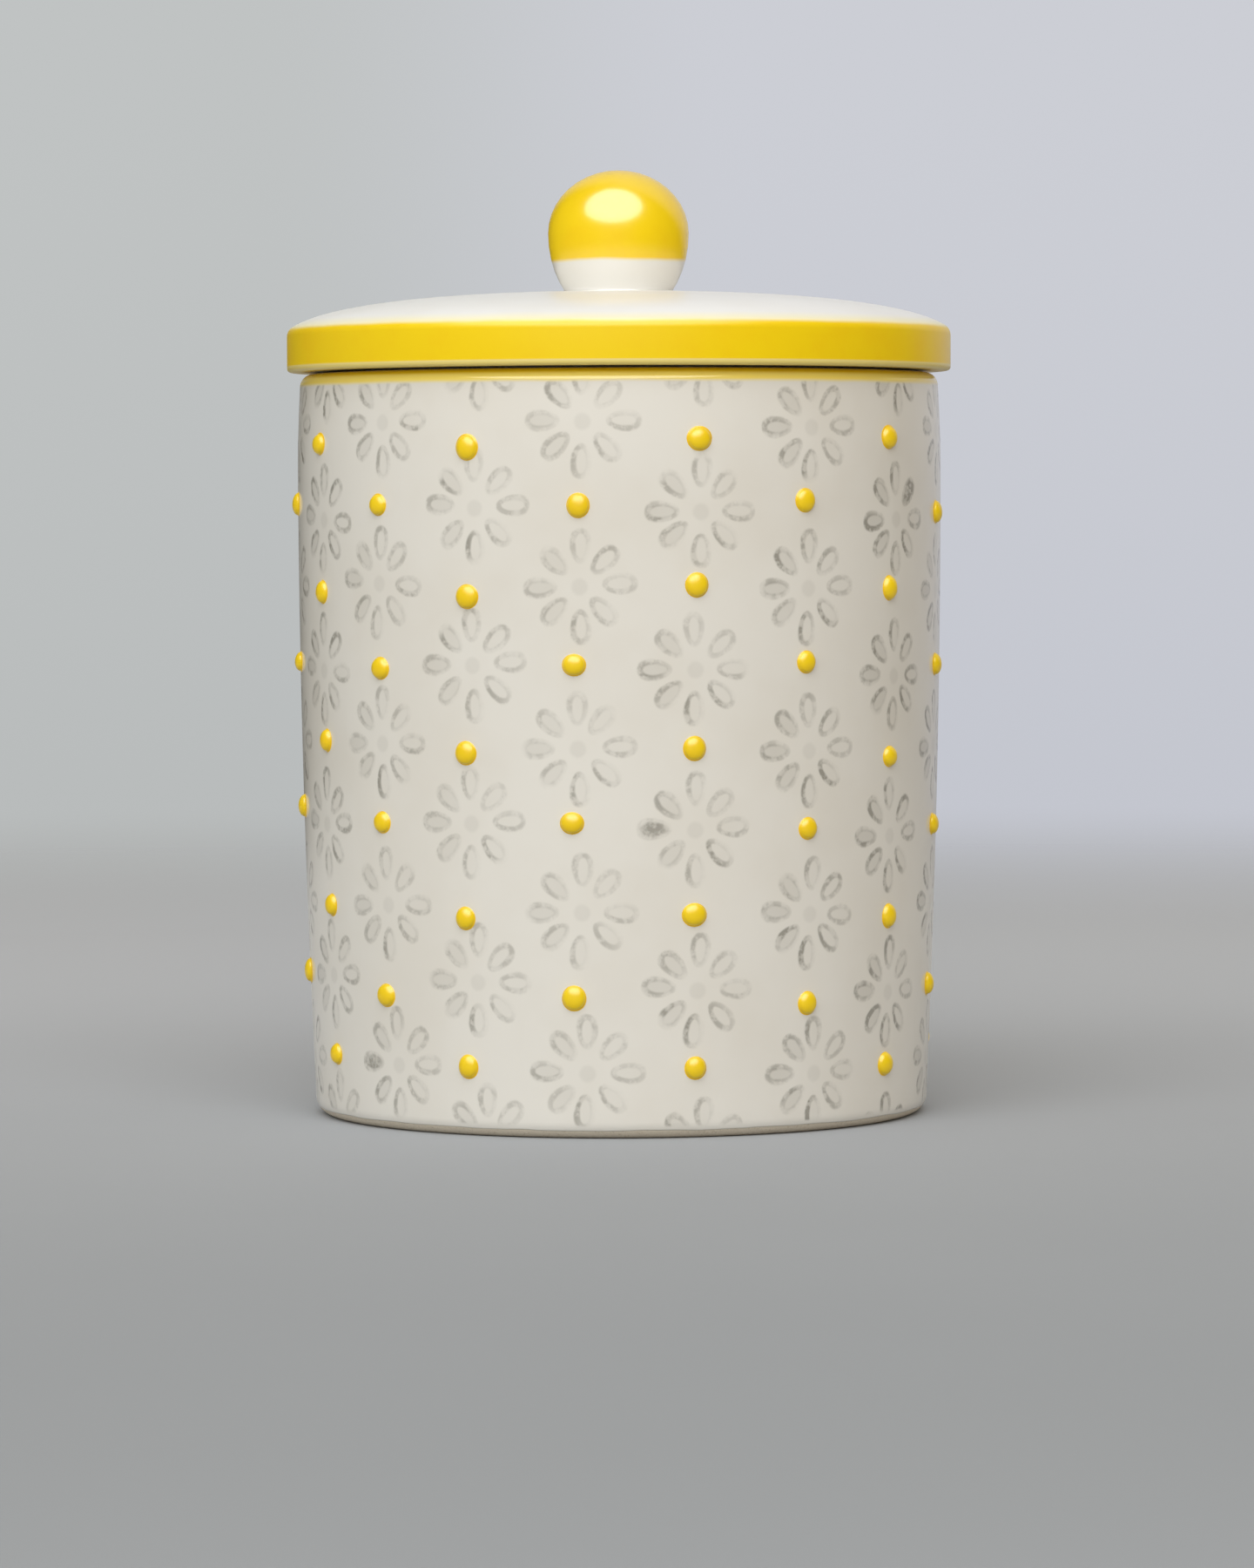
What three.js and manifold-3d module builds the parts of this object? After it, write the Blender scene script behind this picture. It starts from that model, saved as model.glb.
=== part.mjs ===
// A round stoneware storage jar with a lid, in millimetres.
// +Z is up. The jar stands on its foot ring at Z = 0, centred on the Z axis, and -Y faces the viewer.
// It comes apart into the jar with its raised glaze dots, the lid with the hollow knob that is luted onto it,
// and the soft seal ring that sits in the groove of the lid's flange and reaches the jar's mouth.

import * as THREE from "three";
import { mergeVertices } from "three/addons/utils/BufferGeometryUtils.js";
import Module from "manifold-3d";

const wasm = await Module();
wasm.setup();

const RIGHT = Math.PI / 2;
const degrees = THREE.MathUtils.degToRad;
const SAME_POINT = 1e-3; // points closer than this are one

// Fits and facets
const CLEARANCE = 0.3; // between pieces that touch but come apart
const TURN_STEPS = 60; // round the jar, the lid and the seal ring
const KNOB_STEPS = 32;
const DOT_STEPS = 6; // round a dot
const DOT_ARC_STEPS = 3; // from a dot's foot to its top
const ARC_STEPS = 3; // along a rounded corner
const CURVE_STEPS = 7; // along the top of the lid and the sides of the knob
const WALL_STEPS = 5; // up the swelling wall

// Jar
const JAR_HEIGHT = 116.9; // foot to the crown of the lip
const BASE_RADIUS = 48.5; // outside of the wall, just above the foot
const LIP_RADIUS = 50.4; // outside of the wall, just under the lip
const SHOULDER_SWELL = 0.5; // how far the widest ring of the wall stands out past the lip
const SHOULDER_DROP = 11; // how far below the lip's crown that ring is
const WALL = 4.2; // thickness of the mouth
const FLOOR = 4.6; // thickness over the recess in the foot
const FOOT_CORNER = 2.7; // rounding between the wall and the foot ring
const FOOT_WIDTH = 4.4; // of the bare ring that the jar stands on
const FOOT_RECESS = 1.5; // how far the underside is set back from the foot ring
const FOOT_SLOPE = 1.2; // run of the foot ring's inner side
const INSIDE_CORNER = 6; // rounding between the inside wall and the floor

// Raised dots of glaze on the wall. They stand in columns, and every second column is half a step higher.
const COLUMN_PAIRS = 9;
const FULL_COLUMN_FIRST = 10.2; // height of the lowest dot of a full column
const FULL_COLUMN_STEP = 24;
const SHIFTED_COLUMN_FIRST = 22.1;
const SHIFTED_COLUMN_STEP = 24.7;
const DOT_RIM_MARGIN = 8; // least distance from a dot's centre to the crown of the lip
const DOT_RADIUS = 1.7;
const DOT_RISE = 1.1; // how far a dot stands out of the wall
const DOT_ROOT = 0.7; // how far a dot's foot reaches into the wall

// The dots were set by hand: columns crowd a little on one side, and each dot strays up or down and sideways.
const FRONT_COLUMN = degrees(-1.9); // from the front towards +X
const CROWDING = degrees(5.6);
const CROWDING_PHASE = degrees(-83.6);
const UP_STRAY = [
  { size: 0.83, perColumn: 2.93, perRow: 2.32, phase: 5 },
  { size: 0.75, perColumn: -0.4, perRow: 0.81, phase: 5.8 },
  { size: 0.7, perColumn: 1.31, perRow: -0.56, phase: 1.2 },
];
const SIDE_STRAY = [
  { size: 0.55, perColumn: 0.83, perRow: -1, phase: 5.75 },
  { size: 0.45, perColumn: 1.16, perRow: 0.5, phase: 5.3 },
];

// Lid
const LID_OVERHANG = 2.1; // past the jar's lip
const LID_EDGE = 5.6; // upright part of the edge, with its lower corner
const LID_TOP_CORNER = 1.8;
const LID_UNDER_CORNER = 0.6;
const DOME_SLOPE = degrees(32); // slope of the top where it leaves the rounded corner
const DOME_RISE = 5.3; // from the end of that corner to the flat under the knob
const DOME_SHOULDER = 9.7; // how far the first slope carries inwards before the top levels off
const DOME_CROWN = 3.2; // how far the level flat carries outwards
const DOME_FLAT = 1.2; // width of the flat that shows round the knob's foot
const LID_THICKNESS = 5.2;
const DISH_FALL = 1.4; // how far the underside falls between the vent and the flange
const DISH_CORNER = 3;
const FLANGE_GAP = 3.2; // from the jar's mouth to the outside of the flange
const FLANGE_WALL = 4.2;
const FLANGE_DEPTH = 11; // below the underside of the lid's edge
const FLANGE_ROUND = 0.9;
const GROOVE_DEPTH = 1.5;
const GROOVE_HEIGHT = 4.6;
const GROOVE_DROP = 3; // from the underside of the lid's edge to the top of the groove

// Knob
const KNOB_RADIUS = 11.15;
const KNOB_NECK = 8.3; // radius where the knob meets the lid
const KNOB_CAP = 10; // height above the widest ring
const KNOB_DROP = 9.4; // from the widest ring down to the lid
const KNOB_WALL = 4.2;
const KNOB_BASE = 2; // least height of the hollow's floor above the lid
const VENT_RADIUS = 2.5; // hole that lets the air out of the hollow knob in the kiln

// Seal ring
const SEAL_BODY = 1.9; // radial thickness without the fins
const FIN_COUNT = 2;
const FIN_ROOT = 1; // thickness where a fin leaves the ring
const FIN_TIP = 0.6; // thickness at its edge
const FIN_TILT = 0.5; // how much higher its edge is than its root

const glaze = (color) => new THREE.MeshStandardMaterial({ color, roughness: 0.18, metalness: 0 });
const ivoryGlaze = glaze(0xe6e1d5);
const yellowGlaze = glaze(0xefc814);
const silicone = new THREE.MeshStandardMaterial({ color: 0xe9e9e6, roughness: 0.45, metalness: 0 });

// Sizes that the pieces share
const shoulderHeight = JAR_HEIGHT - SHOULDER_DROP;
const shoulderRadius = LIP_RADIUS + SHOULDER_SWELL;
const mouthRadius = LIP_RADIUS - WALL;
const lidSeat = JAR_HEIGHT + CLEARANCE;
const lidCorner = lidSeat + LID_EDGE; // where the upright edge turns into the top
const lidTop = lidCorner + LID_TOP_CORNER * Math.cos(DOME_SLOPE) + DOME_RISE;
const flangeRadius = mouthRadius - FLANGE_GAP;
const grooveRadius = flangeRadius - GROOVE_DEPTH;
const grooveTop = lidSeat - GROOVE_DROP;
const grooveBottom = grooveTop - GROOVE_HEIGHT;

const at = (radius, height) => new THREE.Vector2(radius, height);

// Points of an arc, or of part of an ellipse where its rise is given, between two angles.
function arc(radius, height, run, from, to, { rise = run, steps = ARC_STEPS } = {}) {
  return new THREE.EllipseCurve(radius, height, run, rise, from, to, to < from).getPoints(steps);
}

// An outline turned round the Y axis. Its points run anticlockwise, with the radius to the right. It starts
// and ends on the axis, or is closed here.
function spun(outline, steps) {
  const points = outline.filter((p, i) => i === 0 || p.distanceTo(outline[i - 1]) > SAME_POINT);
  for (const p of points) p.x = p.x < SAME_POINT ? 0 : p.x;
  if (points[0].x > 0) points.push(points[0].clone());
  return new THREE.LatheGeometry(points, steps);
}

const turned = (outline, steps) => spun(outline, steps).rotateX(RIGHT);

// A closed geometry as a manifold-3d solid, and back again.
function solidOf(geometry) {
  const bare = geometry.clone().deleteAttribute("normal").deleteAttribute("uv");
  const merged = mergeVertices(bare, SAME_POINT);
  const vertProperties = merged.attributes.position.array;
  const triVerts = new Uint32Array(merged.index.array);
  return new wasm.Manifold(new wasm.Mesh({ numProp: 3, vertProperties, triVerts }));
}

function geometryOf(solid) {
  const { vertProperties, triVerts } = solid.getMesh();
  const geometry = new THREE.BufferGeometry();
  geometry.setAttribute("position", new THREE.BufferAttribute(new Float32Array(vertProperties), 3));
  geometry.setIndex(new THREE.BufferAttribute(new Uint32Array(triVerts), 1));
  geometry.computeVertexNormals();
  return geometry;
}

// Outside radius of the jar's wall at a height between the foot's corner and the lip. The wall leans out
// less and less as it climbs, and stands upright at its widest ring.
function wallRadius(height) {
  if (height > shoulderHeight) {
    return THREE.MathUtils.lerp(shoulderRadius, LIP_RADIUS, (height - shoulderHeight) / SHOULDER_DROP);
  }
  const fallen = (shoulderHeight - height) / (shoulderHeight - FOOT_CORNER);
  return THREE.MathUtils.lerp(shoulderRadius, BASE_RADIUS, fallen ** 2);
}

// Points of the wall's curve between two heights, on its outside or set in from it.
function wallCurve(from, to, inset) {
  const points = [];
  for (let i = 0; i <= WALL_STEPS; i++) {
    const height = THREE.MathUtils.lerp(from, to, i / WALL_STEPS);
    points.push(at(wallRadius(height) - inset, height));
  }
  return points;
}

function jarBody() {
  const footOuter = BASE_RADIUS - FOOT_CORNER;
  const footInner = footOuter - FOOT_WIDTH;
  const lipRound = WALL / 2;
  const floorHeight = FOOT_RECESS + FLOOR;
  const cornerHeight = floorHeight + INSIDE_CORNER;
  const inset = shoulderRadius - mouthRadius;
  const insideBase = wallRadius(cornerHeight) - inset;
  return turned(
    [
      at(0, FOOT_RECESS),
      at(footInner - FOOT_SLOPE, FOOT_RECESS),
      at(footInner, 0),
      ...arc(footOuter, FOOT_CORNER, FOOT_CORNER, -RIGHT, 0),
      ...wallCurve(FOOT_CORNER, shoulderHeight, 0),
      ...arc(LIP_RADIUS - lipRound, JAR_HEIGHT - lipRound, lipRound, 0, 2 * RIGHT, { steps: 2 * ARC_STEPS }),
      ...wallCurve(shoulderHeight, cornerHeight, inset),
      ...arc(insideBase - INSIDE_CORNER, cornerHeight, INSIDE_CORNER, 0, -RIGHT),
      at(0, floorHeight),
    ],
    TURN_STEPS,
  );
}

function stray(waves, column, row) {
  const parts = waves.map((w) => w.size * Math.sin(w.perColumn * column + w.perRow * row + w.phase));
  return parts.reduce((sum, part) => sum + part, 0);
}

// Angle, from the front towards +X, and height of every dot on the wall.
function dotPlaces() {
  const places = [];
  for (let column = 1 - COLUMN_PAIRS; column <= COLUMN_PAIRS; column++) {
    const first = column % 2 ? FULL_COLUMN_FIRST : SHIFTED_COLUMN_FIRST;
    const step = column % 2 ? FULL_COLUMN_STEP : SHIFTED_COLUMN_STEP;
    const even = (column * Math.PI) / COLUMN_PAIRS;
    const columnAngle = FRONT_COLUMN + even + CROWDING * Math.sin(even + CROWDING_PHASE);
    for (let row = 0; first + row * step < JAR_HEIGHT - DOT_RIM_MARGIN; row++) {
      const height = first + row * step + stray(UP_STRAY, column, row);
      const angle = columnAngle + stray(SIDE_STRAY, column, row) / wallRadius(height);
      places.push({ angle, height });
    }
  }
  return places;
}

// One drop of glaze: the top of an egg whose lower half is inside the wall.
function dot({ angle, height }) {
  const eggRise = DOT_RISE + DOT_ROOT;
  const eggRadius = DOT_RADIUS / Math.sqrt(1 - (DOT_ROOT / eggRise) ** 2);
  const side = arc(0, -DOT_ROOT, eggRadius, 0, RIGHT, { rise: eggRise, steps: DOT_ARC_STEPS });
  const drop = spun([at(0, -DOT_ROOT), ...side], DOT_STEPS).rotateX(2 * RIGHT);
  return drop.translate(0, -wallRadius(height), height).rotateZ(angle);
}

function jar() {
  const dots = dotPlaces().map((place) => solidOf(dot(place)));
  return geometryOf(dots.reduce((body, drop) => body.add(drop), solidOf(jarBody())));
}

function lid() {
  const lidRadius = LIP_RADIUS + LID_OVERHANG;
  const undersideTop = lidTop - LID_THICKNESS;
  const flangeInner = flangeRadius - FLANGE_WALL;
  const flangeBottom = lidSeat - FLANGE_DEPTH;
  const dishCorner = at(flangeInner - DISH_CORNER, undersideTop - DISH_FALL - DISH_CORNER);
  const topCorner = arc(lidRadius - LID_TOP_CORNER, lidCorner, LID_TOP_CORNER, 0, RIGHT - DOME_SLOPE);
  const domeStart = topCorner[topCorner.length - 1];
  const domeEnd = at(KNOB_NECK + DOME_FLAT, lidTop);
  const domeClimb = at(-Math.cos(DOME_SLOPE), Math.sin(DOME_SLOPE)).multiplyScalar(DOME_SHOULDER);
  const domeTurn = domeStart.clone().add(domeClimb);
  const dome = new THREE.CubicBezierCurve(domeStart, domeTurn, at(domeEnd.x + DOME_CROWN, lidTop), domeEnd);
  return turned(
    [
      at(VENT_RADIUS, undersideTop),
      ...arc(dishCorner.x, dishCorner.y, DISH_CORNER, RIGHT, 0),
      ...arc(flangeInner + FLANGE_ROUND, flangeBottom + FLANGE_ROUND, FLANGE_ROUND, -2 * RIGHT, -RIGHT),
      ...arc(flangeRadius - FLANGE_ROUND, flangeBottom + FLANGE_ROUND, FLANGE_ROUND, -RIGHT, 0),
      at(flangeRadius, grooveBottom),
      at(grooveRadius, grooveBottom),
      at(grooveRadius, grooveTop),
      at(flangeRadius, grooveTop),
      at(flangeRadius, lidSeat),
      ...arc(lidRadius - LID_UNDER_CORNER, lidSeat + LID_UNDER_CORNER, LID_UNDER_CORNER, -RIGHT, 0),
      ...topCorner,
      ...dome.getPoints(CURVE_STEPS),
      at(VENT_RADIUS, lidTop),
    ],
    TURN_STEPS,
  );
}

function knob() {
  const widest = lidTop + KNOB_DROP;
  const neckAngle = Math.acos(KNOB_NECK / KNOB_RADIUS);
  const hollowRadius = KNOB_RADIUS - KNOB_WALL;
  const ventAngle = Math.acos(VENT_RADIUS / hollowRadius);
  const lowerSide = { rise: KNOB_DROP / Math.sin(neckAngle), steps: CURVE_STEPS };
  return turned(
    [
      ...arc(0, widest, hollowRadius, RIGHT, 0, { rise: KNOB_CAP - KNOB_WALL }),
      ...arc(0, widest, hollowRadius, 0, -ventAngle, { rise: KNOB_DROP - KNOB_BASE }),
      at(VENT_RADIUS, lidTop),
      at(KNOB_NECK, lidTop),
      ...arc(0, widest, KNOB_RADIUS, -neckAngle, 0, lowerSide),
      ...arc(0, widest, KNOB_RADIUS, 0, RIGHT, { rise: KNOB_CAP, steps: CURVE_STEPS }),
    ],
    KNOB_STEPS,
  );
}

function sealRing() {
  const bore = grooveRadius + CLEARANCE;
  const side = bore + SEAL_BODY;
  const finEdge = mouthRadius - CLEARANCE;
  const bottom = grooveBottom + CLEARANCE;
  const top = grooveTop - CLEARANCE;
  const outline = [at(bore, bottom), at(side, bottom)];
  for (let fin = 0; fin < FIN_COUNT; fin++) {
    const height = THREE.MathUtils.lerp(bottom, top, (fin + 0.5) / FIN_COUNT) - FIN_TILT / 2;
    outline.push(at(side, height - FIN_ROOT / 2), at(finEdge, height + FIN_TILT - FIN_TIP / 2));
    outline.push(at(finEdge, height + FIN_TILT + FIN_TIP / 2), at(side, height + FIN_ROOT / 2));
  }
  outline.push(at(side, top), at(bore, top));
  return turned(outline, TURN_STEPS);
}

function piece(name, geometry, material) {
  const mesh = new THREE.Mesh(geometry, material);
  mesh.name = name;
  return mesh;
}

const lidAndKnob = new THREE.Group();
lidAndKnob.add(piece("lid", lid(), ivoryGlaze), piece("knob", knob(), yellowGlaze));

const storageJar = new THREE.Group();
storageJar.add(piece("jar", jar(), ivoryGlaze), piece("seal_ring", sealRing(), silicone), lidAndKnob);

export default storageJar;
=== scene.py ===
"""A round glazed stoneware storage jar with a lid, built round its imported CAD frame.

Sizes are in millimetres and in the frame's own axes: +Z is up, and -Y faces the photograph's viewer.
"""

import math
import random

import bpy
from mathutils import Matrix, Vector


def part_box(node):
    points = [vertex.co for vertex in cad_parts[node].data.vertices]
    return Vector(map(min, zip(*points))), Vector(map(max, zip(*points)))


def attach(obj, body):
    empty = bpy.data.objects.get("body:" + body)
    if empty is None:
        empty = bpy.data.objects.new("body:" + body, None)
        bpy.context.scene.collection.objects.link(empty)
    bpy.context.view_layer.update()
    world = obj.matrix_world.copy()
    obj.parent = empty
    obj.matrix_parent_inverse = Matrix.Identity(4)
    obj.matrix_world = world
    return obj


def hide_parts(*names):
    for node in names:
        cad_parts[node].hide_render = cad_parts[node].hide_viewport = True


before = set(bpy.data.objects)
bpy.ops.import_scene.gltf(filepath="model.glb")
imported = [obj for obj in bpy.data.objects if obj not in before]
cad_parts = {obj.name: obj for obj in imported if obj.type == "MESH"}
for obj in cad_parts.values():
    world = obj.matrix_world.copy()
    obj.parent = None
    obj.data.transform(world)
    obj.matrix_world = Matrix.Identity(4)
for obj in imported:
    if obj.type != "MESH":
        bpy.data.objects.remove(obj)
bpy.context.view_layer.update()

MM = 0.001
TURN = 2 * math.pi
RIGHT = math.pi / 2
SAME_POINT = 1e-4  # points closer than this are one


def extent(node):
    """The lowest and highest corners of a node of the frame, in millimetres."""
    low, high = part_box(node)
    return low / MM, high / MM


_, jar_high = extent("jar")
lid_low, lid_high = extent("lid")
_, knob_high = extent("knob")
seal_low, seal_high = extent("seal_ring")

# Jar
SHOULDER_DROP = 11  # from the lip's crown down to the widest ring of the wall
SHOULDER_SWELL = 0.5  # how far that ring stands out past the lip
LID_OVERHANG = 2.1
BASE_RADIUS = 48.5
WALL = 4.2
FLOOR = 4.6
FOOT_CORNER = 2.7
FOOT_WIDTH = 4.4
FOOT_RECESS = 1.5
FOOT_SLOPE = 1.2
FOOT_DRAW_IN = 0.06  # of the foot's corner, so that its rounding meets the wall's curve
INSIDE_CORNER = 6
INSIDE_BEND = 9  # height above the inside floor at which the wall's curve starts
SHOULDER_ROUND = 176
LIP_LAND = 0.02  # flat left on each half of the lip's crown
SMALL_ROUND = 0.5  # rounding of the foot ring's edges and of the lid's small ones

jar_height = jar_high.z
lip_radius = lid_high.x - LID_OVERHANG
mouth_radius = lip_radius - WALL
shoulder_height = jar_height - SHOULDER_DROP
shoulder_radius = lip_radius + SHOULDER_SWELL
foot_inner_radius = BASE_RADIUS - FOOT_CORNER - FOOT_WIDTH

# Raised dots of glaze: columns of them, every second column half a step higher. A dot strays from its even
# place by waves, each given by its size and what a column, a row and the start add to its angle.
COLUMN_PAIRS = 9
FULL_FIRST = 10.2
FULL_STEP = 24
SHIFTED_FIRST = 22.1
SHIFTED_STEP = 24.7
RIM_MARGIN = 8
FRONT_COLUMN = math.radians(-1.9)
CROWDING = math.radians(5.6)
CROWDING_PHASE = math.radians(-83.6)
UP_STRAY = [(0.83, 2.93, 2.32, 5), (0.75, -0.4, 0.81, 5.8), (0.7, 1.31, -0.56, 1.2)]
SIDE_STRAY = [(0.55, 0.83, -1, 5.75), (0.45, 1.16, 0.5, 5.3)]
DOT_RADIUS = 1.68
DOT_RISE = 1.1
DOT_SKIRT = 0.3  # width of the thin foot of glaze round a dot
DOT_ROOT = 0.5
DOT_SAG = 0.1  # how far a dot's top hangs below its centre
DOT_SHELF = 0.12  # share of the rise at which the skirt ends and the drop begins
DOT_TUCK = 0.12  # angle up the drop's side at which it meets the skirt
SKIRT_SINK = 0.06
SKIRT_RUN = 0.08
DOT_SEED = 11
DOT_SIZES = (0.93, 1.05)  # least and most that one dot's radius is multiplied by
DOT_RISES = (0.9, 1.0)
DOT_SQUASHES = (0.95, 1.06)

# Flowers stamped midway between the dots of a column, and straying as the dots do
PETALS = 8
PETAL_CENTRE = 5.8
CROSS_REACH = 0.35  # how much farther out the upright and the level petals are, and nearer the slanting ones
PETAL_HALF_LENGTH = 2.25
PETAL_HALF_WIDTH = 1.2
PETAL_FLARE = 0.14  # how much wider a petal is at its outer end
EYE_RADIUS = 1.25
EYE_DROP = 0.2
FLOWER_ASIDE = 1.3
FLOWER_UP_STRAY = [(1.08, -0.58, 0.21, 0.44), (0.64, -2.65, -0.4, -0.38)]
FLOWER_SIDE_STRAY = [(1.1, 0.04, -0.87, 0.49), (0.49, -1.87, 0.38, -0.97)]
FLOWER_CHANCE = 0.3
FIRMNESS = 1.2  # how strongly the stamp was pressed, which swings twice between firm and light round the jar
FIRMNESS_SWING = 0.3
FIRMNESS_PHASE = math.radians(16)

# Lid
LID_EDGE = 5.6
LID_TOP_CORNER = 1.8
LID_UNDER_CORNER = 0.6
DOME_SLOPE = math.radians(32)
DOME_SHOULDER = 9.7
DOME_CROWN = 3.2
DOME_FLAT = 1.2
LID_THICKNESS = 5.2
DISH_FALL = 1.4
DISH_CORNER = 3
DISH_LEAD = 12  # rounding that leads into that corner
FLANGE_GAP = 3.2
FLANGE_WALL = 4.2
FLANGE_DEPTH = 11
FLANGE_ROUND = 0.9
GROOVE_DEPTH = 1.5
GROOVE_HEIGHT = 4.6
GROOVE_DROP = 3
GROOVE_ROUND = 0.25

lid_radius = lid_high.x
lid_top = lid_high.z
lid_seat = lid_low.z + FLANGE_DEPTH
lid_corner = lid_seat + LID_EDGE
flange_radius = mouth_radius - FLANGE_GAP
groove_radius = flange_radius - GROOVE_DEPTH
groove_top = lid_seat - GROOVE_DROP
groove_bottom = groove_top - GROOVE_HEIGHT

# Knob
KNOB_NECK = 8.3
KNOB_CAP = 10
KNOB_WALL = 4.2
KNOB_BASE = 2
VENT_RADIUS = 2.5
NECK_FILLET = 0.55
FILLET_HOLD = 0.35  # how far along its sides the fillet's curve is held

knob_radius = knob_high.x
knob_widest = knob_high.z - KNOB_CAP
knob_drop = knob_widest - lid_top

# Seal ring
SEAL_BODY = 1.9
SEAL_CLEARANCE = 0.3
FIN_COUNT = 2
FIN_ROOT = 1
FIN_TIP = 0.6
FIN_TILT = 0.5
FIN_ROUND = 0.22

# Painted bands
LIP_PAINT = 1.8  # how far down the lip the paint reaches
BAND_LIFT = 0.85  # bare glaze under the lid's band
BAND_OVERLAP = 1.15  # how far the band goes over the lid's upper corner
KNOB_WHITE = 5  # height of the knob's undipped neck
GLAZE_LINE = 1.3  # where the glaze ends above the bare foot

lip_band = jar_height - LIP_PAINT
lid_band_bottom = lid_seat + BAND_LIFT
lid_band_top = lid_corner + BAND_OVERLAP
knob_band = lid_top + KNOB_WHITE

# Fineness of the meshes
TURN_STEPS = 288
DOT_TURN_STEPS = 24
LONGEST_RUN = 3.0  # along an outline
ARC_STEP = math.radians(9)
CURVE_STEPS = 24
FILLET_STEPS = 10
SKIRT_STEPS = 4
WALL_STEPS = 24
SHARP = math.radians(40)


# Outlines

def arc(centre, radius, start, end, rise=None):
    """Points of an arc, or of part of an ellipse where its rise is given."""
    count = max(2, math.ceil(abs(end - start) / ARC_STEP))
    angles = (start + (end - start) * i / count for i in range(count + 1))
    across, up = radius, radius if rise is None else rise
    return [(centre[0] + across * math.cos(a), centre[1] + up * math.sin(a)) for a in angles]


def bezier(start, first, second, end, steps=CURVE_STEPS):
    """Points of a cubic curve."""
    points = []
    for i in range(steps + 1):
        t = i / steps
        s = 1 - t
        weights = (s**3, 3 * s * s * t, 3 * s * t * t, t**3)
        controls = (start, first, second, end)
        points.append(tuple(sum(w * c[k] for w, c in zip(weights, controls)) for k in (0, 1)))
    return points


def rounded(corners):
    """The outline through corners, given as (radius, height, rounding), each rounded off."""
    outline = []
    for i, (radius, height, rounding) in enumerate(corners):
        here = Vector((radius, height))
        if not rounding:
            outline.append(tuple(here))
            continue
        back = (Vector(corners[i - 1][:2]) - here).normalized()
        ahead = (Vector(corners[(i + 1) % len(corners)][:2]) - here).normalized()
        half = back.angle(ahead) / 2
        centre = here + (back + ahead).normalized() * rounding / math.sin(half)
        first = here + back * rounding / math.tan(half) - centre
        last = here + ahead * rounding / math.tan(half) - centre
        sweep = first.angle(last)
        count = max(2, math.ceil(sweep / ARC_STEP))
        for k in range(count + 1):
            t = k / count
            spoke = first * math.sin((1 - t) * sweep) + last * math.sin(t * sweep)
            outline.append(tuple(centre + spoke / math.sin(sweep)))
    return outline


def divided(outline):
    """The same outline with points added on its long runs."""
    points = [outline[0]]
    for before, after in zip(outline, outline[1:]):
        length = math.dist(before, after)
        if length < SAME_POINT:
            continue
        count = math.ceil(length / LONGEST_RUN)
        for k in range(1, count + 1):
            t = k / count
            points.append(tuple(a + (b - a) * t for a, b in zip(before, after)))
    return points


def wall_radius(height):
    """Outside radius of the jar's wall."""
    if height > shoulder_height:
        return shoulder_radius - SHOULDER_SWELL * (height - shoulder_height) / SHOULDER_DROP
    fallen = (shoulder_height - height) / (shoulder_height - FOOT_CORNER)
    return shoulder_radius - (shoulder_radius - BASE_RADIUS) * fallen**2


def wall_corners(start, end, inset):
    """Corners along the wall's curve, on its outside or set in from it."""
    heights = (start + (end - start) * i / WALL_STEPS for i in range(WALL_STEPS + 1))
    return [(wall_radius(height) - inset, height, 0) for height in heights]


def jar_outline():
    lip_round = WALL / 2 - LIP_LAND
    inside_floor = FOOT_RECESS + FLOOR
    inset = shoulder_radius - mouth_radius
    curve_top = shoulder_height - SHOULDER_DROP
    curve_bottom = inside_floor + INSIDE_BEND
    return rounded(
        [
            (0, FOOT_RECESS, 0),
            (foot_inner_radius - FOOT_SLOPE, FOOT_RECESS, SMALL_ROUND),
            (foot_inner_radius, 0, SMALL_ROUND),
            (BASE_RADIUS - FOOT_DRAW_IN, 0, FOOT_CORNER),
            *wall_corners(2 * FOOT_CORNER, curve_top, 0),
            (shoulder_radius, shoulder_height, SHOULDER_ROUND),
            (lip_radius, jar_height, lip_round),
            (mouth_radius, jar_height, lip_round),
            (mouth_radius, shoulder_height, 0),
            *wall_corners(curve_top, curve_bottom, inset),
            (wall_radius(inside_floor) - inset, inside_floor, INSIDE_CORNER),
            (0, inside_floor, 0),
        ]
    )


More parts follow.
